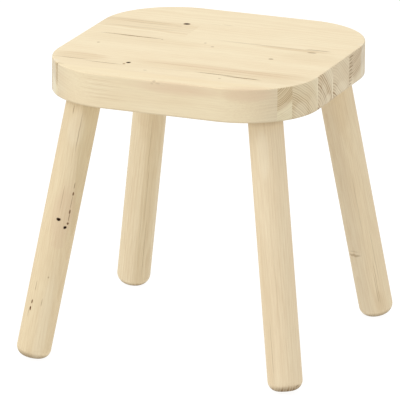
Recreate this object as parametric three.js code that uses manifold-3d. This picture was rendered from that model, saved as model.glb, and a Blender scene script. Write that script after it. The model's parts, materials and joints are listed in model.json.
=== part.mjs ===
// A low wooden stool: a thick rounded-square seat glued up from pine staves, and four splayed
// round legs. Each leg sits in an angled recess under the seat, where a hanger bolt fixed in
// the leg's top screws into a threaded insert. Millimetres, +Z up; the origin is on the floor
// under the middle of the seat, with the front at -Y and the staves' grain along X.

import * as THREE from 'three';
import { mergeVertices } from 'three/addons/utils/BufferGeometryUtils.js';
import Module from 'manifold-3d';

const wasm = await Module();
wasm.setup();

// Driving dimensions
const STOOL_HEIGHT = 280;
const SEAT_SIDE = 255.2;
const SEAT_CORNER_RADIUS = 72;
const SEAT_THICKNESS = 31.5;
const SEAT_EDGE_ROUND = 1.2;
const LEG_RADIUS = 16;
const LEG_TILT_DEGREES = 12; // from the vertical, outwards along the line from the seat's middle
const LEG_PLACE = { x: 87.7, y: 86.1 }; // leg axis at the seat's underside, from the middle
const FOOT_ROUND = 9.7;
const GAP = 0.3; // between two pieces that fit into each other

// Glued joints between the seat's staves, front to back, and the end joint in one of them
const STAVE_JOINTS = [-106, -93.7, -56.5, -17.5, 25.4, 67.6];
const END_JOINTED_STAVE = 6;
const END_JOINT_X = -35;
const FINGER_LENGTH = 10;
const FINGER_COUNT = 5;

// Leg fixing
const RECESS_DEPTH = 9; // along the leg's axis, from the seat's underside to the recess's floor
const INSERT_RADIUS = 6;
const INSERT_LENGTH = 13;
const BOLT_RADIUS = 4;
const BOLT_WOOD_LENGTH = 40;
const BOLT_MACHINE_LENGTH = 12;
const BOLT_CHAMFER = 0.8;
const BOLT_POINT_LENGTH = 4;
const LEG_TOP_CHAMFER = 1;

// Roundness of the faceted solids
const CORNER_STEPS = 14;
const EDGE_STEPS = 4;
const LEG_SIDES = 48;
const FOOT_STEPS = 8;
const BOLT_SIDES = 24;

// Worked out from the above
const HALF_SIDE = SEAT_SIDE / 2;
const UNDERSIDE = STOOL_HEIGHT - SEAT_THICKNESS;
const TILT = THREE.MathUtils.degToRad(LEG_TILT_DEGREES);

const seatPine = { color: '#e9d8b4', roughness: 0.6, metalness: 0 };
const legPine = { color: '#dfcba4', roughness: 0.6, metalness: 0 };
const zincSteel = { color: '#b9bcc0', roughness: 0.35, metalness: 1 };

function toSolid(geometry) {
  const bare = geometry.clone();
  bare.deleteAttribute('normal');
  bare.deleteAttribute('uv');
  const merged = mergeVertices(bare);
  const vertProperties = Float32Array.from(merged.attributes.position.array);
  const triVerts = Uint32Array.from(merged.index.array);
  return new wasm.Manifold(new wasm.Mesh({ numProp: 3, vertProperties, triVerts }));
}

function toGeometry(solid) {
  const { vertProperties, triVerts } = solid.getMesh();
  const geometry = new THREE.BufferGeometry();
  geometry.setAttribute('position', new THREE.BufferAttribute(vertProperties, 3));
  geometry.setIndex(new THREE.BufferAttribute(triVerts, 1));
  geometry.computeVertexNormals();
  return geometry;
}

function namedMesh(name, geometry, finish) {
  const mesh = new THREE.Mesh(geometry, new THREE.MeshStandardMaterial(finish));
  mesh.name = name;
  return mesh;
}

// A solid of revolution about Z from a profile of [radius, height] points, lowest first
function turned(profile, sides) {
  const points = profile.map(([radius, height]) => new THREE.Vector2(radius, height));
  return new THREE.LatheGeometry(points, sides).rotateX(Math.PI / 2);
}

// Profile points on an arc of one size about [radius, height], between two angles in degrees
function profileArc(radius, height, size, fromDegrees, toDegrees, steps) {
  return Array.from({ length: steps + 1 }, (_, step) => {
    const angle = THREE.MathUtils.degToRad(fromDegrees + ((toDegrees - fromDegrees) * step) / steps);
    return [radius + size * Math.cos(angle), height + size * Math.sin(angle)];
  });
}

// The legs' own frames: Z runs up the leg's axis, which passes through the seat's underside
// at LEG_PLACE, and X points towards the seat's middle
const corners = [
  { place: 'front_left', x: -1, y: -1 },
  { place: 'front_right', x: 1, y: -1 },
  { place: 'back_right', x: 1, y: 1 },
  { place: 'back_left', x: -1, y: 1 },
].map((corner) => {
  const placeX = corner.x * LEG_PLACE.x;
  const placeY = corner.y * LEG_PLACE.y;
  const group = new THREE.Group();
  group.position.set(placeX, placeY, UNDERSIDE);
  group.rotation.set(0, TILT, Math.atan2(-placeY, -placeX), 'ZYX');
  group.updateMatrix();
  return { place: corner.place, group };
});

function seatBoard() {
  const half = HALF_SIDE - SEAT_EDGE_ROUND;
  const radius = SEAT_CORNER_RADIUS - SEAT_EDGE_ROUND;
  const inner = half - radius;
  const outline = new THREE.Shape();
  outline.absarc(inner, inner, radius, 0, Math.PI / 2);
  outline.absarc(-inner, inner, radius, Math.PI / 2, Math.PI);
  outline.absarc(-inner, -inner, radius, Math.PI, 1.5 * Math.PI);
  outline.absarc(inner, -inner, radius, 1.5 * Math.PI, 2 * Math.PI);
  const board = new THREE.ExtrudeGeometry(outline, {
    depth: SEAT_THICKNESS - 2 * SEAT_EDGE_ROUND,
    curveSegments: CORNER_STEPS,
    bevelSize: SEAT_EDGE_ROUND,
    bevelThickness: SEAT_EDGE_ROUND,
    bevelSegments: EDGE_STEPS,
  });
  return toSolid(board.translate(0, 0, UNDERSIDE + SEAT_EDGE_ROUND));
}

// What is cut away for one leg: the recess for its top and the deeper hole for the insert
function legSocket({ group }) {
  const recess = turned([
    [0, -LEG_RADIUS],
    [LEG_RADIUS + GAP, -LEG_RADIUS],
    [LEG_RADIUS + GAP, RECESS_DEPTH],
    [0, RECESS_DEPTH],
  ], LEG_SIDES);
  const insertHole = turned([
    [0, 0],
    [INSERT_RADIUS + GAP, 0],
    [INSERT_RADIUS + GAP, RECESS_DEPTH + INSERT_LENGTH + 2 * GAP],
    [0, RECESS_DEPTH + INSERT_LENGTH + 2 * GAP],
  ], BOLT_SIDES);
  return toSolid(recess.applyMatrix4(group.matrix)).add(toSolid(insertHole.applyMatrix4(group.matrix)));
}

// A block between two places along Y that reaches past the seat in the other directions
function staveBlock(front, back) {
  const block = new THREE.BoxGeometry(2 * SEAT_SIDE, back - front, 2 * SEAT_THICKNESS);
  return toSolid(block.translate(0, (front + back) / 2, UNDERSIDE + SEAT_THICKNESS / 2));
}

// Everything to the left of the end joint: its fingers run along X and show on the stave's edges
function leftOfEndJoint(edge) {
  const outline = new THREE.Shape();
  const low = UNDERSIDE;
  const fingerHeight = SEAT_THICKNESS / FINGER_COUNT;
  const far = edge - SEAT_SIDE;
  outline.moveTo(far, low - SEAT_THICKNESS);
  outline.lineTo(edge, low - SEAT_THICKNESS);
  outline.lineTo(edge, low);
  for (let finger = 0; finger < FINGER_COUNT; finger += 1) {
    outline.lineTo(edge + FINGER_LENGTH, low + (finger + 0.5) * fingerHeight);
    outline.lineTo(edge, low + (finger + 1) * fingerHeight);
  }
  outline.lineTo(edge, low + 2 * SEAT_THICKNESS);
  outline.lineTo(far, low + 2 * SEAT_THICKNESS);
  const block = new THREE.ExtrudeGeometry(outline, { depth: 2 * SEAT_SIDE, bevelEnabled: false });
  return toSolid(block.rotateX(Math.PI / 2).translate(0, SEAT_SIDE, 0));
}

function seatStaves() {
  const sockets = corners.map(legSocket);
  const drilled = sockets.reduce((board, socket) => board.subtract(socket), seatBoard());
  const fronts = [-SEAT_SIDE, ...STAVE_JOINTS];
  const backs = [...STAVE_JOINTS, SEAT_SIDE];
  return fronts.flatMap((front, index) => {
    const name = `seat_stave_${index + 1}`;
    const stave = drilled.intersect(staveBlock(front, backs[index]));
    if (index + 1 !== END_JOINTED_STAVE) {
      return [namedMesh(name, toGeometry(stave), seatPine)];
    }
    const left = stave.intersect(leftOfEndJoint(END_JOINT_X - GAP));
    const right = stave.subtract(leftOfEndJoint(END_JOINT_X));
    return [
      namedMesh(`${name}_left`, toGeometry(left), seatPine),
      namedMesh(`${name}_right`, toGeometry(right), seatPine),
    ];
  });
}

// The leg is cut square to its axis at both ends, and its foot's round edge meets the floor at
// the side that leans towards the middle, so its length follows from the height of the seat
function legLength() {
  const flatRadius = LEG_RADIUS - FOOT_ROUND;
  const belowRoundCentre = flatRadius * Math.sin(TILT) + FOOT_ROUND;
  const roundCentreDown = (UNDERSIDE - belowRoundCentre) / Math.cos(TILT);
  return roundCentreDown + FOOT_ROUND + RECESS_DEPTH - GAP;
}

function leg() {
  const top = RECESS_DEPTH - GAP;
  const bottom = top - legLength();
  const boreBottom = top - BOLT_WOOD_LENGTH - GAP;
  const profile = [
    [0, bottom],
    ...profileArc(LEG_RADIUS - FOOT_ROUND, bottom + FOOT_ROUND, FOOT_ROUND, -90, 0, FOOT_STEPS),
    [LEG_RADIUS, top - LEG_TOP_CHAMFER],
    [LEG_RADIUS - LEG_TOP_CHAMFER, top],
    [BOLT_RADIUS + GAP, top],
    [BOLT_RADIUS + GAP, boreBottom],
    [0, boreBottom],
  ];
  return turned(profile, LEG_SIDES);
}

function hangerBolt() {
  const legTop = RECESS_DEPTH - GAP;
  const bottom = legTop - BOLT_WOOD_LENGTH;
  const top = RECESS_DEPTH + BOLT_MACHINE_LENGTH;
  return turned([
    [0, bottom],
    [BOLT_CHAMFER, bottom],
    [BOLT_RADIUS, bottom + BOLT_POINT_LENGTH],
    [BOLT_RADIUS, top - BOLT_CHAMFER],
    [BOLT_RADIUS - BOLT_CHAMFER, top],
    [0, top],
  ], BOLT_SIDES);
}

function threadedInsert() {
  const bottom = RECESS_DEPTH + GAP;
  const top = bottom + INSERT_LENGTH;
  const bore = BOLT_RADIUS + GAP;
  return turned([
    [bore, bottom],
    [INSERT_RADIUS, bottom],
    [INSERT_RADIUS, top],
    [bore, top],
    [bore, bottom],
  ], BOLT_SIDES);
}

const stool = new THREE.Group();
stool.add(...seatStaves());
for (const { place, group } of corners) {
  group.add(namedMesh(`leg_${place}`, leg(), legPine));
  group.add(namedMesh(`hanger_bolt_${place}`, hangerBolt(), zincSteel));
  group.add(namedMesh(`threaded_insert_${place}`, threadedInsert(), zincSteel));
  stool.add(group);
}

export default stool;
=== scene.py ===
"""Looks of the wooden stool: smooth meshes, solid pine with its figure and marks, light and camera."""

import json
import math
from collections import namedtuple

import bmesh
import bpy
from mathutils import Matrix, Vector


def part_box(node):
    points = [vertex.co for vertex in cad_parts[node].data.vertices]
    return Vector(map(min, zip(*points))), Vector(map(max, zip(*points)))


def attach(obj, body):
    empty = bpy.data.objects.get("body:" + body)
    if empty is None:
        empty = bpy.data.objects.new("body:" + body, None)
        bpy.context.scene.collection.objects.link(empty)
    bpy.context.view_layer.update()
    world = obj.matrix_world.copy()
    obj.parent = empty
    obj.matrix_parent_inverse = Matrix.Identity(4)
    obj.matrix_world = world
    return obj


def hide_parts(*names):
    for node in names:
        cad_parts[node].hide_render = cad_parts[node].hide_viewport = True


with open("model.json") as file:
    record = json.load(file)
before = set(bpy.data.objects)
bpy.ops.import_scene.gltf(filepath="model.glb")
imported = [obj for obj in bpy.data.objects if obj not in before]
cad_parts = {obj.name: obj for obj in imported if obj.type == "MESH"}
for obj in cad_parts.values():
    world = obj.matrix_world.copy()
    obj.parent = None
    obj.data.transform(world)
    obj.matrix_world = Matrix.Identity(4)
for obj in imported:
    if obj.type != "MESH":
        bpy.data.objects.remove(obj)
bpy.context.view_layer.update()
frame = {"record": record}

MM_PER_METRE = 1000

# Sizes that the CAD model's boxes don't give; lengths are in metres
CORNER_RADIUS = 0.072
EDGE_ROUND = 0.0012
LEG_RADIUS = 0.016
LEG_TILT = math.radians(12)
LEG_PLACE = (0.0877, 0.0861)
FOOT_ROUND = 0.0097
LEG_TOP_CHAMFER = 0.001
GAP = 0.0003
RECESS_DEPTH = 0.009
INSERT_RADIUS = 0.006
INSERT_LENGTH = 0.013
INSERT_TAPER = 0.003
BOLT_RADIUS = 0.004
BOLT_WOOD_LENGTH = 0.04
BOLT_MACHINE_LENGTH = 0.012
BOLT_COLLAR = 0.0035
BOLT_POINT = 0.006
END_JOINT_X = -0.035
FINGER_LENGTH = 0.01
FINGER_COUNT = 5

# How far a tilted leg's socket reaches to the front and the back, in leg radii
SOCKET_REACH = 1.3

# The ring of points inside the foot's flat end, as a share of that flat's radius
FOOT_INNER_RING = 0.6

# Shares of the bolt's and the insert's radius, and the share of the collar that is plain neck
BOLT_TIP = 0.25
BOLT_END = 0.8
BOLT_NECK = 0.9
INSERT_END = 0.8
INNER_THREAD_DEPTH = 0.08
NECK_SHARE = 0.7

# A thread's pitch in metres, its root's share of its crest's radius, and how narrow its ridge is,
# where 1 is an even V
Thread = namedtuple("Thread", "pitch root sharpness")
WOOD_THREAD = Thread(0.0035, 0.72, 2.6)
MACHINE_THREAD = Thread(0.00125, 0.86, 1.0)
INSERT_THREAD = Thread(0.0032, 0.86, 2.2)

# Fineness of the meshes, and the angles in degrees above which their edges stay sharp
CORNER_STEPS = 26
EDGE_STEPS = 8
LEG_SIDES = 96
FOOT_STEPS = 14
HOLE_SIDES = 96
THREAD_SIDES = 32
THREAD_ROWS = 9
WOOD_SHARP_ANGLE = 32
THREAD_SHARP_ANGLE = 40

MOUNTS = {mount["name"]: Vector(mount["pos_m"]) for mount in frame["record"]["mounts"]}
SEAT_TOP = MOUNTS["seat_top"].z
UNDERSIDE = MOUNTS["seat_underside"].z
SEAT_TOP_MM = SEAT_TOP * MM_PER_METRE
UNDERSIDE_MM = UNDERSIDE * MM_PER_METRE
HALF_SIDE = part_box("seat_stave_5")[1].x
CORNERS = {"front_left": (-1, -1), "front_right": (1, -1), "back_right": (1, 1), "back_left": (-1, 1)}


def leg_frame(place):
    """The leg's own frame: Z up its axis from the seat's underside, X towards the seat's middle."""
    x = CORNERS[place][0] * LEG_PLACE[0]
    y = CORNERS[place][1] * LEG_PLACE[1]
    turn = Matrix.Rotation(math.atan2(-y, -x), 4, "Z") @ Matrix.Rotation(LEG_TILT, 4, "Y")
    return Matrix.Translation((x, y, UNDERSIDE)) @ turn


# ---------------------------------------------------------------- meshes

def new_object(name, mesh_builder):
    """An object from a bmesh, with its faces turned outwards."""
    bmesh.ops.recalc_face_normals(mesh_builder, faces=mesh_builder.faces)
    mesh = bpy.data.meshes.new(name)
    mesh_builder.to_mesh(mesh)
    mesh_builder.free()
    made = bpy.data.objects.new(name, mesh)
    bpy.context.scene.collection.objects.link(made)
    return made


def rounded_square(half, radius):
    """Points round a square with round corners, anticlockwise."""
    inner = half - radius
    points = []
    for quarter in range(4):
        middle_angle = math.radians(45 + 90 * quarter)
        centre_x = math.copysign(inner, math.cos(middle_angle))
        centre_y = math.copysign(inner, math.sin(middle_angle))
        for step in range(CORNER_STEPS + 1):
            angle = math.radians(90 * (quarter + step / CORNER_STEPS))
            points.append((centre_x + radius * math.cos(angle), centre_y + radius * math.sin(angle)))
    return points


def seat_board():
    """The whole seat as one board: stacked outlines with rounded edges above and below."""
    profile = []
    for step in range(EDGE_STEPS + 1):
        angle = math.radians(90 * step / EDGE_STEPS)
        inset = EDGE_ROUND * (1 - math.sin(angle))
        profile.append((inset, UNDERSIDE + EDGE_ROUND * (1 - math.cos(angle))))
    for inset, height in reversed(profile[:]):
        profile.append((inset, SEAT_TOP + UNDERSIDE - height))
    builder = bmesh.new()
    rings = []
    for inset, height in profile:
        outline = rounded_square(HALF_SIDE - inset, CORNER_RADIUS - inset)
        rings.append([builder.verts.new((x, y, height)) for x, y in outline])
    for low, high in zip(rings, rings[1:]):
        for index, corner in enumerate(low):
            following = (index + 1) % len(low)
            builder.faces.new((corner, low[following], high[following], high[index]))
    builder.faces.new(rings[0])
    builder.faces.new(rings[-1])
    return builder


def keep_between(builder, front, back):
    """Cuts away what lies before front and behind back along Y, and closes the cuts."""
    for place, side in ((front, -1), (back, 1)):
        if abs(place) >= HALF_SIDE - GAP:
            continue
        everything = builder.verts[:] + builder.edges[:] + builder.faces[:]
        cut = bmesh.ops.bisect_plane(builder, geom=everything, plane_co=(0, place, 0),
                                     plane_no=(0, side, 0), clear_outer=True)
        rim = [item for item in cut["geom_cut"] if isinstance(item, bmesh.types.BMEdge)]
        bmesh.ops.contextual_create(builder, geom=rim)


def turned(name, profile, sides):
    """A solid of revolution about Z from (radius, height) points that start and end on the axis."""
    builder = bmesh.new()
    angles = [math.tau * side / sides for side in range(sides)]
    rings = []
    for radius, height in profile:
        if radius == 0:
            ring = [builder.verts.new((0, 0, height))] * sides
        else:
            ring = [builder.verts.new((radius * math.cos(angle), radius * math.sin(angle), height))
                    for angle in angles]
        rings.append(ring)
    for low, high in zip(rings, rings[1:]):
        for side in range(sides):
            following = (side + 1) % sides
            corners = [low[side], low[following], high[following], high[side]]
            # On the axis two corners are one point, which a face may hold only once
            builder.faces.new(list(dict.fromkeys(corners)))
    return new_object(name, builder)


def combine(piece, other, operation):
    """Applies a boolean with another object, which is then removed."""
    modifier = piece.modifiers.new("cut", "BOOLEAN")
    modifier.object = other
    modifier.operation = operation
    modifier.solver = "EXACT"
    replace_mesh(piece)
    bpy.data.objects.remove(other)


def replace_mesh(piece):
    """Applies the piece's modifiers."""
    evaluated = piece.evaluated_get(bpy.context.evaluated_depsgraph_get())
    mesh = bpy.data.meshes.new_from_object(evaluated)
    piece.modifiers.clear()
    piece.data = mesh


def smooth(piece, sharp_angle):
    """Smooth shading that leaves the flat faces flat, with sharp_angle in degrees."""
    piece.data.shade_smooth()
    piece.data.set_sharp_from_angle(angle=math.radians(sharp_angle))
    weighted = piece.modifiers.new("weighted normals", "WEIGHTED_NORMAL")
    weighted.keep_sharp = True
    replace_mesh(piece)


def leg_socket(place):
    """The hole in the seat for one leg's top and, above it, for the threaded insert."""
    recess = LEG_RADIUS + GAP
    insert = INSERT_RADIUS + GAP
    below_seat = -LEG_RADIUS
    hole_top = RECESS_DEPTH + INSERT_LENGTH + 2 * GAP
    profile = [(0, below_seat), (recess, below_seat), (recess, RECESS_DEPTH), (insert, RECESS_DEPTH),
               (insert, hole_top), (0, hole_top)]
    socket = turned("socket", profile, HOLE_SIDES)
    socket.data.transform(leg_frame(place))
    return socket


def left_of_end_joint():
    """A block whose right side is a row of pointed fingers that run along the grain."""
    height = SEAT_TOP - UNDERSIDE
    finger = height / FINGER_COUNT
    far = END_JOINT_X - 2 * HALF_SIDE
    outline = [(far, UNDERSIDE - height), (END_JOINT_X, UNDERSIDE - height), (END_JOINT_X, UNDERSIDE)]
    for index in range(FINGER_COUNT):
        outline.append((END_JOINT_X + FINGER_LENGTH, UNDERSIDE + (index + 0.5) * finger))
        outline.append((END_JOINT_X, UNDERSIDE + (index + 1) * finger))
    outline += [(END_JOINT_X, SEAT_TOP + height), (far, SEAT_TOP + height)]
    builder = bmesh.new()
    front = [builder.verts.new((x, -HALF_SIDE, z)) for x, z in outline]
    back = [builder.verts.new((x, HALF_SIDE, z)) for x, z in outline]
    builder.faces.new(front)
    builder.faces.new(back)
    for index in range(len(outline)):
        following = (index + 1) % len(outline)
        builder.faces.new((front[index], front[following], back[following], back[index]))
    return new_object("left of end joint", builder)


def stave(node):
    """One glued stave of the seat, between the places that its CAD node has."""
    low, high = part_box(node)
    builder = seat_board()
    keep_between(builder, low.y, high.y)
    piece = new_object("pine_" + node, builder)
    if node.endswith("_left"):
        combine(piece, left_of_end_joint(), "INTERSECT")
    elif node.endswith("_right"):
        combine(piece, left_of_end_joint(), "DIFFERENCE")
    socket_reach = LEG_RADIUS * SOCKET_REACH
    for place, (_, side) in CORNERS.items():
        middle = side * LEG_PLACE[1]
        if low.y < middle + socket_reach and high.y > middle - socket_reach:
            combine(piece, leg_socket(place), "DIFFERENCE")
    smooth(piece, WOOD_SHARP_ANGLE)
    return piece


def leg(place):
    """A round leg, square-cut at both ends, with a rounded foot and a bore for its bolt."""
    top = RECESS_DEPTH - GAP
    flat = LEG_RADIUS - FOOT_ROUND
    below = flat * math.sin(LEG_TILT) + FOOT_ROUND
    foot_centre = -(UNDERSIDE - below) / math.cos(LEG_TILT)
    foot_end = foot_centre - FOOT_ROUND
    bore = BOLT_RADIUS + GAP
    bore_end = top - BOLT_WOOD_LENGTH - GAP
    profile = [(0, foot_end), (flat * FOOT_INNER_RING, foot_end)]
    for step in range(FOOT_STEPS + 1):
        angle = math.radians(90 * step / FOOT_STEPS)
        radius = flat + FOOT_ROUND * math.sin(angle)
        profile.append((radius, foot_centre - FOOT_ROUND * math.cos(angle)))
    profile += [(LEG_RADIUS, top - LEG_TOP_CHAMFER), (LEG_RADIUS - LEG_TOP_CHAMFER, top),
                (bore, top), (bore, bore_end), (0, bore_end)]
    piece = turned("pine_leg_" + place, profile, LEG_SIDES)
    piece.data.transform(leg_frame(place))
    smooth(piece, WOOD_SHARP_ANGLE)
    return piece


def wave(turn, sharpness):
    """Height of a thread across one pitch, from 0 at its root to 1 at its crest."""
    return max(0.0, 1 - abs(2 * (turn % 1) - 1) * sharpness)


def thread_share(thread, turn, depth=1.0):
    """A thread's radius as a share of its crest's, where depth is how much of it is cut."""
    return thread.root + (1 - thread.root) * wave(turn, thread.sharpness) * depth


def depth_near_end(distance, thread):
    """How much of a thread is cut at a distance from its end, rising to all of it over one pitch."""
    shallowest = 0.001
    return max(0.0, min(1.0, distance / thread.pitch + shallowest))


def threaded_wall(builder, low, high, pitch, radius_at):
    """Rings of points from low to high, at the radius that radius_at gives for a height and a turn."""
    rows = max(2, round((high - low) / pitch * THREAD_ROWS))
    rings = []
    for row in range(rows + 1):
        height = low + (high - low) * row / rows
        ring = []
        for side in range(THREAD_SIDES):
            angle = math.tau * side / THREAD_SIDES
            radius = radius_at(height, height / pitch - side / THREAD_SIDES)
            ring.append(builder.verts.new((radius * math.cos(angle), radius * math.sin(angle), height)))
        rings.append(ring)
    return rings


def bridge(builder, rings):
    """Joins each ring of points to the next with four-sided faces."""
    for low, high in zip(rings, rings[1:]):
        for side in range(THREAD_SIDES):
            following = (side + 1) % THREAD_SIDES
            builder.faces.new((low[side], low[following], high[following], high[side]))


def hanger_bolt(place):
    """A bolt with a wood thread below, for the leg, and a machine thread above, for the insert."""
    middle = RECESS_DEPTH - GAP
    bottom = middle - BOLT_WOOD_LENGTH
    top = RECESS_DEPTH + BOLT_MACHINE_LENGTH
    wood_end = middle - BOLT_COLLAR
    neck_start = middle - NECK_SHARE * BOLT_COLLAR
    neck_pitch = 0.002
    shoulder = 0.0006

    def wood_radius(height, turn):
        taper = min(1.0, BOLT_TIP + (1 - BOLT_TIP) * (height - bottom) / BOLT_POINT)
        depth = depth_near_end(wood_end - height, WOOD_THREAD)
        return BOLT_RADIUS * taper * thread_share(WOOD_THREAD, turn, depth)

    def neck_radius(_height, _turn):
        return BOLT_RADIUS * BOLT_NECK

    def machine_radius(height, turn):
        chamfer = min(1.0, BOLT_END + (top - height) / BOLT_RADIUS)
        depth = depth_near_end(height - middle - BOLT_COLLAR, MACHINE_THREAD)
        return BOLT_RADIUS * chamfer * thread_share(MACHINE_THREAD, turn, depth)

    builder = bmesh.new()
    rings = threaded_wall(builder, bottom, wood_end, WOOD_THREAD.pitch, wood_radius)
    rings += threaded_wall(builder, neck_start, middle, neck_pitch, neck_radius)
    rings += threaded_wall(builder, middle + shoulder, top, MACHINE_THREAD.pitch, machine_radius)
    bridge(builder, rings)
    builder.faces.new(rings[0])
    builder.faces.new(rings[-1])
    piece = new_object("zinc_hanger_bolt_" + place, builder)
    piece.data.transform(leg_frame(place))
    smooth(piece, THREAD_SHARP_ANGLE)
    return piece


def threaded_insert(place):
    """A sleeve with a coarse outer thread that bites the seat and an inner thread for the bolt."""
    bottom = RECESS_DEPTH + GAP
    top = bottom + INSERT_LENGTH
    bore = BOLT_RADIUS + GAP

    def outer_radius(height, turn):
        taper = min(1.0, INSERT_END + (1 - INSERT_END) * (top - height) / INSERT_TAPER)
        return INSERT_RADIUS * taper * thread_share(INSERT_THREAD, turn)

    def inner_radius(_height, turn):
        return bore - INNER_THREAD_DEPTH * bore * wave(turn, MACHINE_THREAD.sharpness)

    builder = bmesh.new()
    outer = threaded_wall(builder, bottom, top, INSERT_THREAD.pitch, outer_radius)
    inner = threaded_wall(builder, bottom, top, MACHINE_THREAD.pitch, inner_radius)
    bridge(builder, outer)
    bridge(builder, inner)
    bridge(builder, [outer[0], inner[0]])
    bridge(builder, [outer[-1], inner[-1]])
    piece = new_object("zinc_threaded_insert_" + place, builder)
    piece.data.transform(leg_frame(place))
    smooth(piece, THREAD_SHARP_ANGLE)
    return piece


# ---------------------------------------------------------------- materials

def srgb(red, green, blue):
    """A colour given as the 0 to 255 values that a screen shows."""
    def linear(value):
        share = value / 255
        return share / 12.92 if share <= 0.04045 else ((share + 0.055) / 1.055) ** 2.4
    return (linear(red), linear(green), linear(blue), 1.0)


class Nodes:
    """Short calls that build one material's nodes. add returns the node, and the calls named for
    what they work out return its output."""

    # A Mix node's sockets for colours come after its sockets for numbers and vectors
    MIX_SHARE, MIX_FIRST, MIX_SECOND, MIX_RESULT = 0, 6, 7, 2

    def __init__(self, name):
        self.material = bpy.data.materials.new(name)
        self.material.use_nodes = True
        self.tree = self.material.node_tree
        self.shader = self.tree.nodes["Principled BSDF"]

    def feed(self, socket, value):
        """Links another node's output to a socket, or sets the socket to a plain value."""
        if isinstance(value, bpy.types.NodeSocket):
            self.tree.links.new(value, socket)
        else:
            socket.default_value = value

    def add(self, kind, *values, **settings):
        """A node with its settings made and its first sockets fed."""
        node = self.tree.nodes.new("ShaderNode" + kind)
        for setting, value in settings.items():
            setattr(node, setting, value)
        for socket, value in zip(node.inputs, values):
            self.feed(socket, value)
        return node

    def math(self, operation, *values):
        return self.add("Math", *values, operation=operation).outputs["Value"]

    def vector(self, operation, *values):
        return self.add("VectorMath", *values, operation=operation).outputs["Vector"]

    def length(self, value):
        return self.add("VectorMath", value, operation="LENGTH").outputs["Value"]

    def dot(self, first, second):
        return self.add("VectorMath", first, second, operation="DOT_PRODUCT").outputs["Value"]

    def line(self, value, low, high, to_low, to_high):
        """A straight line from to_low, where value is low, to to_high, where it is high."""
        return self.add("MapRange", value, low, high, to_low, to_high).outputs["Result"]

    def ramp(self, value, low, high, to_low=0.0, to_high=1.0):
        """The same as line, but eased at both ends."""
        node = self.add("MapRange", value, low, high, to_low, to_high, interpolation_type="SMOOTHSTEP")
        return node.outputs["Result"]

    def noise(self, place, detail=2.0, roughness=0.5, output="Fac"):
        """Noise from 0 to 1 with features about one unit apart."""
        node = self.add("TexNoise")
        self.feed(node.inputs["Vector"], place)
        node.inputs["Scale"].default_value = 1.0
        node.inputs["Detail"].default_value = detail
        node.inputs["Roughness"].default_value = roughness
        return node.outputs[output]

    def mix(self, share, first, second, blend="MIX"):
        """The colour first, with share of the colour second mixed or blended in."""
        node = self.add("Mix", data_type="RGBA", blend_type=blend)
        self.feed(node.inputs[self.MIX_SHARE], share)
        self.feed(node.inputs[self.MIX_FIRST], first)
        self.feed(node.inputs[self.MIX_SECOND], second)
        return node.outputs[self.MIX_RESULT]

    def bump(self, height, strength, distance):
        """Fine relief in the surface, distance metres deep."""
        node = self.add("Bump")
        node.inputs["Strength"].default_value = strength
        node.inputs["Distance"].default_value = distance
        self.feed(node.inputs["Height"], height)
        self.feed(self.shader.inputs["Normal"], node.outputs["Normal"])


PINE_PALE = srgb(231, 217, 186)
PINE_WARM = srgb(225, 206, 173)
PINE_LATE = srgb(176, 140, 98)
PINE_RING = srgb(136, 102, 64)
PINE_BRIGHT = srgb(240, 228, 200)
PINE_ROSE = srgb(214, 188, 158)
PINE_BROWN = srgb(200, 176, 140)
PINE_STREAK = srgb(118, 88, 54)
PINE_KNOT = srgb(34, 14, 2)
# The colour of painted shade: under the seat, round the legs' tops and round their feet
PAINTED_SHADE = srgb(134, 112, 80)
PINE_RESIN = srgb(92, 50, 4)
PINE_HALO = srgb(128, 88, 36)
PINE_ASH = srgb(226, 219, 201)
ZINC_BOLT = srgb(188, 192, 198)
ZINC_INSERT = srgb(180, 180, 178)
ZINC_BLOOM = srgb(206, 200, 186)

# How the wood's figure wanders: the noise's size and the farthest move, both as (across, up, along
# the grain) in millimetres
BROAD_BEND = dict(spacing=(42, 42, 150), reach=(8, 8, 0))
FINE_BEND = dict(spacing=(9, 9, 16), reach=(1.2, 1.2, 0))
MARK_BEND = dict(spacing=(5, 5, 12), reach=(1.2, 1.2, 2.5))

# The size of a fibre and of a patch of warmer wood, in the same order, the noise values between
# which each one comes in, and how much of the warmer colour a patch gets
FIBRE_SIZE = (0.8, 0.8, 24)
FIBRE_RISE = (0.3, 0.75)
PATCH_SIZE = (16, 16, 95)
PATCH_RISE = (0.35, 0.7)
PATCH_WARMTH = 0.35

# Growth rings: the parts of a ring's width where its late wood rises and ends, the faintest ring's
# strength, and how many ring widths the rings drift by and how often per millimetre
LATE_RISE = (0.25, 0.8)
LATE_FALL = (0.88, 1.0)
FAINTEST_RING = 0.5
RING_DRIFT = 0.9
RING_DRIFT_RATE = 0.11

# A face is end grain as the cosine of its angle to the grain goes from the first of these to the
# second, and its rings outside the heartwood have this share of their strength inside
END_GRAIN_RISE = (0.3, 0.9)
RINGS_OUTSIDE_HEART = 0.3

# A mark is whole within the first of these shares of its size, and gone by the second
MARK_FADE = (0.6, 1.2)

# Bare wood is matt, a little more so in its fibres and late wood, which also stand proud
WOOD_SPECULAR = 0.05
WOOD_ROUGHNESS = (0.52, 0.7)
FIGURE_RANGE = (0.2, 1.5)
WOOD_BUMP_STRENGTH = 0.3
WOOD_BUMP_DISTANCE = 0.0001
LATE_BUMP_SHARE = 0.6


def spots(nodes, place, marks):
    """How strongly each mark, (across, up, along, half sizes the same way, strength), covers a point."""
    cover = 0.0
    for across, up, along, half_across, half_up, half_along, strength in marks:
        offset = nodes.vector("SUBTRACT", place, (across, up, along))
        scaled = nodes.vector("DIVIDE", offset, (half_across, half_up, half_along))
        share = nodes.ramp(nodes.length(scaled), *MARK_FADE, strength, 0.0)
        cover = nodes.math("MAXIMUM", cover, share)
    return cover


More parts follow.
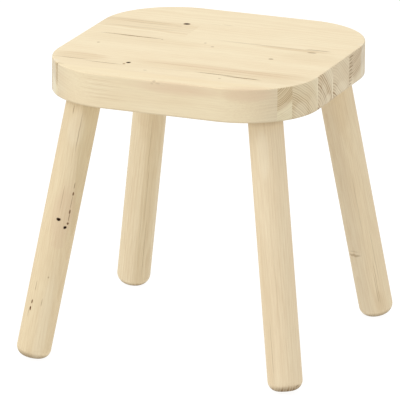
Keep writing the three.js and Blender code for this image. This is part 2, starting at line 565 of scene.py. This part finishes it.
def shaken(nodes, place, spacing, reach):
    """place moved about by noise: spacing is the noise's size and reach the farthest move, per axis."""
    noise = nodes.noise(nodes.vector("DIVIDE", place, spacing), output="Color")
    centred = nodes.vector("SUBTRACT", noise, (0.5, 0.5, 0.5))
    return nodes.vector("ADD", place, nodes.vector("MULTIPLY", centred, reach))


def pith_distance(nodes, place, pith, lean):
    """Distance from the pith, in wood that bends along its grain; the pith leans away by lean."""
    bent = shaken(nodes, place, **BROAD_BEND)
    bent = shaken(nodes, bent, **FINE_BEND)
    leaning = nodes.add("VectorMath", (*lean, 0), operation="SCALE")
    nodes.feed(leaning.inputs["Scale"], nodes.add("SeparateXYZ", place).outputs["Z"])
    pith_here = nodes.vector("ADD", leaning.outputs["Vector"], (*pith, 0))
    from_pith = nodes.vector("SUBTRACT", bent, pith_here)
    return nodes.length(nodes.vector("MULTIPLY", from_pith, (1, 1, 0)))


def growth_rings(nodes, radius, ring_width):
    """Late wood, from 0 to 1, at a distance from the pith: rings of uneven width and strength."""
    uneven = nodes.add("TexNoise", noise_dimensions="1D")
    nodes.feed(uneven.inputs["W"], nodes.math("MULTIPLY", radius, RING_DRIFT_RATE))
    even = nodes.math("DIVIDE", radius, ring_width)
    ring = nodes.math("MULTIPLY_ADD", uneven.outputs["Fac"], RING_DRIFT, even)
    phase = nodes.math("FRACT", ring)
    rise = nodes.ramp(phase, *LATE_RISE)
    fall = nodes.ramp(phase, *LATE_FALL, 1.0, 0.0)
    late = nodes.math("MULTIPLY", rise, fall)
    strength = nodes.add("TexWhiteNoise", noise_dimensions="1D")
    nodes.feed(strength.inputs["W"], nodes.math("FLOOR", ring))
    return nodes.math("MULTIPLY", late, nodes.ramp(strength.outputs["Value"], 0.0, 1.0, FAINTEST_RING, 1.0))


def wood_surface(nodes, fibre, late):
    """Roughness and fine relief that follow the fibres and the rings."""
    figure = nodes.math("ADD", fibre, late)
    nodes.feed(nodes.shader.inputs["Roughness"], nodes.ramp(figure, *FIGURE_RANGE, *WOOD_ROUGHNESS))
    nodes.shader.inputs["Specular IOR Level"].default_value = WOOD_SPECULAR
    height = nodes.math("ADD", fibre, nodes.math("MULTIPLY", late, LATE_BUMP_SHARE))
    nodes.bump(height, WOOD_BUMP_STRENGTH, WOOD_BUMP_DISTANCE)


def pine(name, wood_of, grain, marks, pith, ring_width, lean=(0.0, 0.0),
         heart_radius=0.0, heart_edge=3.0, heart_tone=(0.93, 0.9, 0.86), face_heart=0.0,
         tone=(1.0, 1.0, 1.0), end_tone=(0.88, 0.88, 0.9),
         face_rings=0.1, end_rings=0.6, fibres=0.14, end_fibres=0.12):
    """Solid pine. wood_of gives a point as (across, up, along the grain) in millimetres, and grain is
    the grain's direction. marks lists spots for each of their colours. The pith passes through pith
    and leans from the grain by lean. Heartwood lies within heart_radius of the pith, with a soft
    edge, and shows by face_heart on long faces. tone tints all the wood, end_tone its end grain and
    heart_tone its heartwood. The last four give the rings' and fibres' strength on long faces and
    on end grain."""
    nodes = Nodes(name)
    coordinates = nodes.add("TexCoord")
    place = wood_of(nodes, coordinates.outputs["Object"])

    # The figure: growth rings, heartwood, fibres and broad patches of warmer wood
    radius = pith_distance(nodes, place, pith, lean)
    late = growth_rings(nodes, radius, ring_width)
    heart = nodes.ramp(radius, heart_radius - heart_edge, heart_radius + heart_edge, 1.0, 0.0)
    fibre = nodes.noise(nodes.vector("DIVIDE", place, FIBRE_SIZE), detail=3.0, roughness=0.6)
    patch = nodes.noise(nodes.vector("DIVIDE", place, PATCH_SIZE))

    # End grain shows the rings and the fibres' ends more, and those of the heartwood most
    facing = nodes.math("ABSOLUTE", nodes.dot(coordinates.outputs["Normal"], grain))
    end = nodes.ramp(facing, *END_GRAIN_RISE)
    end_ring_share = nodes.ramp(heart, 0.0, 1.0, RINGS_OUTSIDE_HEART * end_rings, end_rings)
    ring_share = nodes.math("MULTIPLY", late, nodes.line(end, 0.0, 1.0, face_rings, end_ring_share))
    fibre_share = nodes.math("MULTIPLY", nodes.ramp(fibre, *FIBRE_RISE),
                             nodes.ramp(end, 0.0, 1.0, fibres, end_fibres))
    heart_share = nodes.math("MULTIPLY", heart, nodes.ramp(end, 0.0, 1.0, face_heart, 1.0))

    # The colour, from the plain wood to the marks on top, some of which are painted light or shade
    colour = nodes.mix(nodes.ramp(patch, *PATCH_RISE, 0.0, PATCH_WARMTH), PINE_PALE, PINE_WARM)
    colour = nodes.mix(heart_share, colour, (*heart_tone, 1.0), "MULTIPLY")
    colour = nodes.mix(ring_share, colour, nodes.mix(end, PINE_LATE, PINE_RING))
    colour = nodes.mix(fibre_share, colour, PINE_LATE)
    colour = nodes.mix(end, colour, (*end_tone, 1.0), "MULTIPLY")
    colour = nodes.mix(1.0, colour, (*tone, 1.0), "MULTIPLY")
    uneven = shaken(nodes, place, **MARK_BEND)
    for mark_colour, group in marks.items():
        colour = nodes.mix(spots(nodes, uneven, group), colour, mark_colour)
    nodes.feed(nodes.shader.inputs["Base Color"], colour)
    wood_surface(nodes, fibre, late)
    return nodes.material


def stave_wood(nodes, point):
    """A point in the stool's frame as a stave's (across, up, along) in millimetres; its grain is X."""
    in_millimetres = nodes.vector("MULTIPLY", point, (MM_PER_METRE,) * 3)
    parts = nodes.add("SeparateXYZ", in_millimetres).outputs
    return nodes.add("CombineXYZ", parts["Y"], parts["Z"], parts["X"]).outputs["Vector"]


def leg_wood(place):
    """Turns a point in the stool's frame into the leg's own, in millimetres; its grain is its axis."""
    matrix = leg_frame(place)
    turn = matrix.to_euler("XYZ")

    def convert(nodes, point):
        node = nodes.add("Mapping", point, matrix.translation, turn, vector_type="TEXTURE")
        return nodes.vector("MULTIPLY", node.outputs["Vector"], (MM_PER_METRE,) * 3)
    return convert


def zinc(name, tone):
    """Zinc-plated steel: fine uneven gloss with a faint bluish and yellowish bloom."""
    blooms_per_metre = (900, 900, 900)
    grains_per_metre = (6000, 6000, 2500)
    fine_range = (0.2, 0.8)
    roughness_range = (0.25, 0.5)
    nodes = Nodes(name)
    point = nodes.add("TexCoord").outputs["Object"]
    bloom = nodes.noise(nodes.vector("MULTIPLY", point, blooms_per_metre), detail=3.0)
    fine = nodes.noise(nodes.vector("MULTIPLY", point, grains_per_metre))
    nodes.feed(nodes.shader.inputs["Base Color"], nodes.mix(bloom, tone, ZINC_BLOOM))
    nodes.shader.inputs["Metallic"].default_value = 1.0
    nodes.feed(nodes.shader.inputs["Roughness"], nodes.ramp(fine, *fine_range, *roughness_range))
    nodes.bump(fine, strength=0.2, distance=0.00005)
    return nodes.material


# ---------------------------------------------------------------- the wood's own marks, and painted light and shade
# In millimetres: (across, up, along, half sizes the same way, strength), as spots() takes them.
# A stave's across, up and along are Y, Z and X; a leg's are in the leg's own frame.

# How deep each kind of mark goes, as half its size, and where the lines in the front edge lie
KNOT_DEPTH = 3.0
TOP_LINE_DEPTH = 1.5
FRONT_LINE_Y = -124
FRONT_LINE_DEPTH = 9
END_LINE_DEPTH = 3.0

# Half an end line's thickness; its middle lies its width over END_LINE_START behind its front end
END_LINE_THICKNESS = 0.7
END_LINE_START = 2.7


def knot(x, y, size_x, size_y, strength=0.95):
    """A knot in the seat's top."""
    return (y, SEAT_TOP_MM, x, size_y / 2, KNOT_DEPTH, size_x / 2, strength)


def top_line(y, left, right, strength, width=1.0):
    """A thin line along the grain in the seat's top."""
    middle = (left + right) / 2
    return (y, SEAT_TOP_MM, middle, width / 2, TOP_LINE_DEPTH, (right - left) / 2, strength)


def front_line(z, left, right, strength, width=0.8):
    """A thin line along the grain in the seat's front edge."""
    middle = (left + right) / 2
    return (FRONT_LINE_Y, z, middle, FRONT_LINE_DEPTH, width / 2, (right - left) / 2, strength)


def end_line(front, z, width, strength):
    """A thin dark ring that shows as a level line in the seat's right end, from its front end back."""
    middle = front + width / END_LINE_START
    right_end = HALF_SIDE * MM_PER_METRE
    return (middle, z, right_end, width / 2, END_LINE_THICKNESS, END_LINE_DEPTH, strength)


def leg_spot(degrees, height, width, length, strength):
    """A mark on a leg's side. degrees turn round the leg from the side that faces the seat's middle,
    and height is measured up its axis from the seat's underside."""
    angle = math.radians(degrees)
    radius = LEG_RADIUS * MM_PER_METRE
    across = radius * math.cos(angle)
    up = radius * math.sin(angle)
    return (across, up, height, width / 2, width / 2, length / 2, strength)


# A knot that the joint between staves 6 and 7 cuts through, so both of them have it
REAR_KNOT = {
    PINE_HALO: [knot(-49.6, 67.6, 7.4, 6.4, 0.7)],
    PINE_KNOT: [knot(-49.6, 67.6, 6.0, 5.2, 1.0)],
}

# Dark rings in the right end of stave 6, (height, width, strength), which start at its front joint
RIGHT_HALF_FRONT_Y = 25.4
RIGHT_HALF_RINGS = ((277.2, 14, 0.6), (274.5, 9, 0.45), (271, 11, 0.5), (267.6, 13, 0.62), (264.3, 10, 0.6),
                    (260.9, 12, 0.48), (257.8, 9, 0.55), (254.4, 11, 0.42), (251.4, 8, 0.5))

STAVE_MARKS = {
    "seat_stave_1": {
        PINE_ROSE: [(-140, 275.5, 20, 18, 9, 62, 0.68), (-130, 275.5, 98, 24, 9, 42, 0.55)],
        PINE_BROWN: [front_line(z, left, left + 40, 0.38)
                     for z, left in ((275, -78), (270.5, -74), (266, -80), (262, -74), (258.5, -68))],
        PINE_BRIGHT: [front_line(z, left, left + 34, 0.42)
                      for z, left in ((272.7, -76), (268.3, -72), (264, -78), (260.3, -72))],
        PINE_STREAK: [(-127, 279.6, -3.7, 2.0, 1.2, 1.6, 0.22), (-127, 277.5, -5.5, 2, 1, 1.5, 0.15),
                      (-127, 278, 0, 2, 1, 2.5, 0.15)],
    },
    "seat_stave_2": {
        PINE_BRIGHT: [(-99, 260, 115, 8, 6, 9, 0.2)],
        PINE_ASH: [(-97, 262, -116, 9, 24, 10, 0.5)],
        PINE_STREAK: [(-105.2, 274, -108, 0.8, 14, 8, 0.5), knot(-25, -97, 4, 2.4, 0.3),
                      knot(47.2, -96.5, 3, 2.4, 0.35)],
    },
    "seat_stave_3": {
        PINE_BRIGHT: [(-58.2, 266, 129, 1.6, 24, 8, 0.35), (-67, 256, 129, 9, 10, 8, 0.2),
                      (-84, 255, 123, 10, 9, 9, 0.28)],
        PINE_BROWN: [top_line(-71.5, -60, 115, 0.22, 28), top_line(-74, -125, -70, 0.33, 26),
                     top_line(-68, 58, 130, 0.28, 26), top_line(-85, -125, 20, 0.12, 18),
                     top_line(-85, 55, 125, 0.24, 20)],
        PINE_LATE: [top_line(-69, -40, 40, 0.38, 1.8), top_line(-69.6, 25, 112, 0.5, 1.8),
                    top_line(-63.8, 40, 116, 0.42, 1.6), top_line(-77.2, 6, 104, 0.3, 1.6),
                    top_line(-66.2, 50, 96, 0.2, 1.2), top_line(-73, 60, 108, 0.2, 1.2),
                    top_line(-61, -10, 50, 0.18, 1.2), top_line(-66, -124, -70, 0.24, 1.4),
                    top_line(-72, -120, -60, 0.2, 1.4)],
        PINE_ROSE: [top_line(-63, -20, 118, 0.5, 1.6), top_line(-67, -30, 112, 0.5, 3.4),
                    top_line(-72, 10, 120, 0.5, 1.6), top_line(-77, -10, 100, 0.4, 1.4),
                    top_line(-66, -125, -70, 0.4, 1.6), top_line(-78, -125, -60, 0.4, 1.6)],
        PINE_STREAK: [top_line(-83.5, -122, -84, 0.55, 1.4), top_line(-87.5, -88, -50, 0.65, 1.4),
                      top_line(-84.6, 18, 60, 0.85, 1.7), top_line(-87.3, 46, 84, 0.95, 1.9),
                      top_line(-86, -30, 20, 0.18)],
        PINE_HALO: [knot(-48.2, -78.8, 4.6, 5.4, 0.8), knot(-50.6, -84.5, 2.8, 3.4, 0.8)],
        PINE_KNOT: [knot(-48.2, -78.8, 3.8, 4.6, 1.0)],
    },
    "seat_stave_4": {
        PINE_BRIGHT: [(-18.5, 258, 129, 1.5, 14, 6, 0.75), (-42, 258, 129, 9, 14, 6, 0.3),
                      (-31, 252, 129, 9, 6, 6, 0.5), (-53, 265, 129, 4, 9, 6, 0.25)],
        PINE_STREAK: [knot(-100.6, -24.7, 2.5, 3, 0.5), knot(66.5, -16.9, 4.8, 4, 0.6)],
    },
    "seat_stave_5": {
        PINE_BRIGHT: [(5, 253, 129, 18, 8, 6, 0.3)],
        PINE_BROWN: [top_line(21.5, 38, 112, 0.45, 8), top_line(-4, -125, -10, 0.14, 50),
                     top_line(2, 70, 130, 0.16, 36)],
        PINE_STREAK: [top_line(9.3, -114, -72, 0.8, 1.4), top_line(8.6, -96, -50, 0.95, 1.6),
                      knot(-50, 6.8, 2, 1.5, 0.6), knot(-8.6, 11.2, 2.5, 4, 0.3),
                      knot(1.8, 1.8, 3.4, 3.2, 0.4), knot(66.5, -16.9, 4.8, 4, 0.6),
                      knot(93.6, 18.2, 9, 4, 0.5), top_line(24.6, 0, 107, 0.35, 1.4)],
    },
    "seat_stave_6_left": {
        PINE_BROWN: [top_line(51.5, -180, 10, 0.16, 34), top_line(59.5, -150, -45, 0.35, 11)],
        PINE_STREAK: [top_line(56, -112, -54, 0.35, 1.4), top_line(40.2, -126, -40, 0.3, 1.6),
                      top_line(62.5, -126, -56, 0.3, 1.4), top_line(48, -100, -40, 0.2, 1.2),
                      top_line(57, -57, -50, 0.35, 1.2)],
        **REAR_KNOT,
    },
    "seat_stave_6_right": {
        PINE_BRIGHT: [(33, 253, 129, 6, 6, 6, 0.35)],
        PINE_ASH: [(64, 264, 128, 8, 20, 10, 0.5)],
        PINE_STREAK: [top_line(27.5, 84, 110, 0.55, 2.2), top_line(26, -20, 80, 0.14)]
                     + [end_line(RIGHT_HALF_FRONT_Y, *ring) for ring in RIGHT_HALF_RINGS],
    },
    "seat_stave_7": {
        PINE_STREAK: [top_line(78.4, -18, -7, 0.35, 1.2), top_line(76.4, -30, -18, 0.15)],
        **REAR_KNOT,
    },
}

# Each stave's wood, as pine() takes it; the pith's place is (y, z) in millimetres
STAVE_WOOD = {
    "seat_stave_1": dict(pith=(-100, 190), ring_width=3.0, tone=(1.0, 0.99, 0.965), face_rings=0.04),
    "seat_stave_2": dict(pith=(-138, 309), ring_width=1.5, heart_radius=60, heart_edge=1.5,
                         heart_tone=(0.87, 0.81, 0.76), end_tone=(0.975, 1.0, 0.97), end_rings=0.7),
    "seat_stave_3": dict(pith=(-127, 209), ring_width=2.0, heart_radius=84, heart_edge=14,
                         face_rings=0.08, end_tone=(0.975, 0.985, 0.975), end_rings=0.58),
    "seat_stave_4": dict(pith=(-95, 211), ring_width=2.9, heart_radius=86, heart_edge=5,
                         end_tone=(0.955, 0.955, 0.965), end_rings=1.0),
    "seat_stave_5": dict(pith=(-36, 209), ring_width=2.6, heart_radius=60.5, heart_edge=1.5,
                         heart_tone=(0.98, 0.97, 0.96), end_tone=(0.925, 0.915, 0.915), end_rings=0.8),
    "seat_stave_6_left": dict(pith=(16, 326), ring_width=2.6, face_rings=0.2),
    "seat_stave_6_right": dict(pith=(26, 345), ring_width=2.4, heart_radius=92, heart_edge=4,
                               heart_tone=(0.89, 0.865, 0.84), end_tone=(0.95, 0.95, 0.97), end_rings=0.5),
    "seat_stave_7": dict(pith=(120, 205), ring_width=3.2),
}

# Each leg's wood, with the pith's place in the leg's own frame, and what the legs have in common.
# The front right leg is heartwood throughout, which only makes the rings in its ends stronger.
LEG_WOOD = {
    "front_left": dict(pith=(20, -35), ring_width=2.4, lean=(-0.03, 0.05), heart_radius=33,
                       heart_edge=1.5, heart_tone=(0.92, 0.92, 0.895), tone=(0.98, 0.95, 0.9)),
    "front_right": dict(pith=(-18.3, -41.1), ring_width=2.6, face_rings=0.09, fibres=0.2,
                        heart_radius=200, heart_tone=(1.0, 1.0, 1.0), tone=(1.005, 0.98, 0.965)),
    "back_right": dict(pith=(38, 13), ring_width=1.6, heart_radius=29, heart_edge=7,
                       heart_tone=(0.875, 0.89, 0.925), tone=(1.0, 0.98, 0.955)),
    "back_left": dict(pith=(36, 17), ring_width=2.8, heart_radius=32, heart_edge=2,
                      heart_tone=(0.935, 0.925, 0.90), tone=(0.985, 0.975, 0.96), face_rings=0.14),
}
# The legs' dark end_tone is partly their end grain's own tone and partly painted shade round the feet where
# they meet the floor
LEG_FINISH = dict(face_heart=1.0, end_tone=(0.55, 0.55, 0.56), fibres=0.22, end_fibres=0.5, end_rings=1.0)

# Painted shade under the seat: its lower edge and underside are a little darker than the rest
UNDER_SHADE = (0, UNDERSIDE_MM - 1, 0, 500, 2.6, 500, 0.28)

# Painted shade round each leg where it meets the seat, and painted shade round its foot where it meets the
# floor
LEG_TOP_SHADE = (0, 0, 0, 200, 200, 9.5, 0.27)
LEG_FOOT_SHADE = (0, 0, -252, 200, 200, 6, 0.25)

LEG_MARKS = {
    "front_left": {
        # The first bright spot is painted light that cancels the seat's shadow on the leg's upper front;
        # the second is the wood's own
        PINE_BRIGHT: [leg_spot(-122, -30, 16, 36, 0.28), leg_spot(-100, -215, 12, 100, 0.22)],
        PINE_ROSE: [leg_spot(-108, -112, 22, 60, 0.4), leg_spot(-106, -140, 14, 10, 0.3)],
        PINE_STREAK: [leg_spot(-110, -34, 1.2, 40, 0.35),
                      leg_spot(-142, -14.7, 1.0, 9, 0.5), leg_spot(-118.7, -196.7, 1.0, 8, 0.4),
                      leg_spot(-113.8, -172.7, 1.5, 2, 0.45), leg_spot(-120, -96, 0.9, 30, 0.3),
                      leg_spot(-150, -183.7, 0.9, 12, 0.4), leg_spot(-160, -209.7, 0.9, 9, 0.4)],
        PINE_RESIN: [leg_spot(-88, -83.7, 0.9, 7, 0.5), leg_spot(-87, -91.7, 1.8, 4, 0.8),
                     leg_spot(-87, -99.7, 0.8, 15, 0.45), leg_spot(-86.5, -108.7, 1.9, 4.5, 0.8),
                     leg_spot(-85, -113.7, 0.9, 9, 0.6), leg_spot(-85, -119.7, 2.4, 2.8, 0.85),
                     leg_spot(-153, -198.2, 1.7, 4, 1.0), leg_spot(-155, -205.2, 1.7, 5, 1.0)],
        PINE_KNOT: [leg_spot(-119, -117.4, 4.4, 3.4, 1.0), leg_spot(-92.6, -123.6, 3.8, 3.2, 1.0)],
    },
    "front_right": {
        # This bright spot is painted light that cancels the seat's shadow on the leg's upper front
        PINE_BRIGHT: [leg_spot(140, -34, 12, 50, 0.3)],
        PINE_BROWN: [leg_spot(111, -185, 12, 170, 0.22)],
        PINE_STREAK: [leg_spot(118, -215, 0.8, 60, 0.3), leg_spot(150, -150, 0.7, 70, 0.12)],
        PINE_RESIN: [leg_spot(201, -248, 5, 2.4, 0.4)],
    },
    "back_right": {
        # The first two brown spots are painted shade from the seat on the leg's upper front; the third is a
        # mark in the wood
        PINE_BROWN: [leg_spot(70, -34, 20, 60, 0.2), leg_spot(83, -70, 9, 30, 0.1),
                     leg_spot(84, -236, 9, 26, 0.3)],
        PINE_STREAK: [leg_spot(22, -186, 15, 3.0, 0.4), leg_spot(24, -182, 12, 1.4, 0.2),
                      leg_spot(81, -222, 0.9, 36, 0.25), leg_spot(86, -215, 0.8, 50, 0.25),
                      leg_spot(95, -190, 0.8, 60, 0.25), leg_spot(70, -130, 0.7, 60, 0.2)],
    },
    "back_left": {
        PINE_BRIGHT: [leg_spot(50, -150, 14, 220, 0.28)],
        PINE_BROWN: [leg_spot(-38, -68, 16, 24, 0.3), leg_spot(-24, -74, 18, 40, 0.15)],
        PINE_STREAK: [leg_spot(-13, -100, 0.9, 80, 0.17), leg_spot(-8, -150, 0.9, 80, 0.2),
                      leg_spot(2, -210, 0.9, 70, 0.28), leg_spot(-18, -190, 0.8, 70, 0.13),
                      leg_spot(8, -160, 0.8, 100, 0.1)],
    },
}


# ---------------------------------------------------------------- assembly

def place_piece(piece, node, material):
    """Gives a piece its material, hangs it from the root and hides the CAD part that it stands in for."""
    piece.data.materials.clear()
    piece.data.materials.append(material)
    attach(piece, "root")
    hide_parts(node)


def build_seat():
    """The staves, each with its own wood."""
    grain = (1, 0, 0)
    for node, wood in STAVE_WOOD.items():
        # The first marks are painted shade on the seat's lower edge and underside
        marks = {PAINTED_SHADE: [UNDER_SHADE], **STAVE_MARKS[node]}
        material = pine("pine_" + node, stave_wood, grain, marks, **wood)
        place_piece(stave(node), node, material)


def build_legs():
    """The legs, each with its bolt and the insert above it."""
    bolt_finish = zinc("zinc_steel", ZINC_BOLT)
    insert_finish = zinc("zinc_insert", ZINC_INSERT)
    for place in CORNERS:
        grain = leg_frame(place).to_3x3() @ Vector((0, 0, 1))
        # The first marks are painted shade at the leg's top and round its foot
        marks = {PAINTED_SHADE: [LEG_TOP_SHADE, LEG_FOOT_SHADE], **LEG_MARKS[place]}
        wood = {**LEG_FINISH, **LEG_WOOD[place]}
        material = pine("pine_leg_" + place, leg_wood(place), grain, marks, **wood)
        place_piece(leg(place), "leg_" + place, material)
        place_piece(hanger_bolt(place), "hanger_bolt_" + place, bolt_finish)
        place_piece(threaded_insert(place), "threaded_insert_" + place, insert_finish)


def make_camera():
    """A long lens from far off, low on the front right."""
    azimuth = math.radians(21.42)
    elevation = math.radians(16.9513)
    roll = math.radians(0.4925)
    distance = 4.9397
    aim = Vector((-0.00631, -0.00494, 0.13248))
    level = math.cos(elevation)
    back = Vector((math.sin(azimuth) * level, -math.cos(azimuth) * level, math.sin(elevation)))
    data = bpy.data.cameras.new("camera")
    data.lens = 476.735
    data.sensor_width = 36
    camera = bpy.data.objects.new("camera", data)
    turn = back.to_track_quat("Z", "Y").to_matrix().to_4x4() @ Matrix.Rotation(roll, 4, "Z")
    camera.matrix_world = Matrix.Translation(aim + back * distance) @ turn
    bpy.context.scene.collection.objects.link(camera)
    bpy.context.scene.camera = camera


def make_floor():
    """A floor that glows almost white, so that only faint shadows show on it."""
    half_width = 15
    builder = bmesh.new()
    bmesh.ops.create_grid(builder, x_segments=2, y_segments=2, size=half_width)
    floor = new_object("floor", builder)
    nodes = Nodes("pale_floor")
    shader = nodes.shader.inputs
    shader["Base Color"].default_value = (0.12, 0.12, 0.12, 1.0)
    shader["Roughness"].default_value = 0.9
    shader["Emission Color"].default_value = (1.0, 1.0, 1.0, 1.0)
    shader["Emission Strength"].default_value = 0.93
    floor.data.materials.append(nodes.material)


def area_light(name, place, size, power):
    """A round soft light at place that shines at the origin; size is in metres and power in watts."""
    data = bpy.data.lights.new(name, "AREA")
    data.shape = "DISK"
    data.size = size
    data.energy = power
    light = bpy.data.objects.new(name, data)
    light.location = place
    light.rotation_euler = Vector(place).to_track_quat("Z", "Y").to_euler()
    bpy.context.scene.collection.objects.link(light)


def make_light():
    """A bright studio all round, with a soft light overhead and one from the front left."""
    scene = bpy.context.scene
    scene.view_settings.view_transform = "Standard"
    world = bpy.data.worlds.new("studio")
    world.use_nodes = True
    background = world.node_tree.nodes["Background"]
    background.inputs["Color"].default_value = (1.0, 1.0, 1.0, 1.0)
    background.inputs["Strength"].default_value = 0.76
    scene.world = world
    area_light("overhead", place=(0.0, 0.0, 3.6), size=1.8, power=37.5)
    area_light("front", place=(-1.95, -1.95, 2.3), size=2.2, power=29)


build_seat()
build_legs()
make_camera()
make_floor()
make_light()
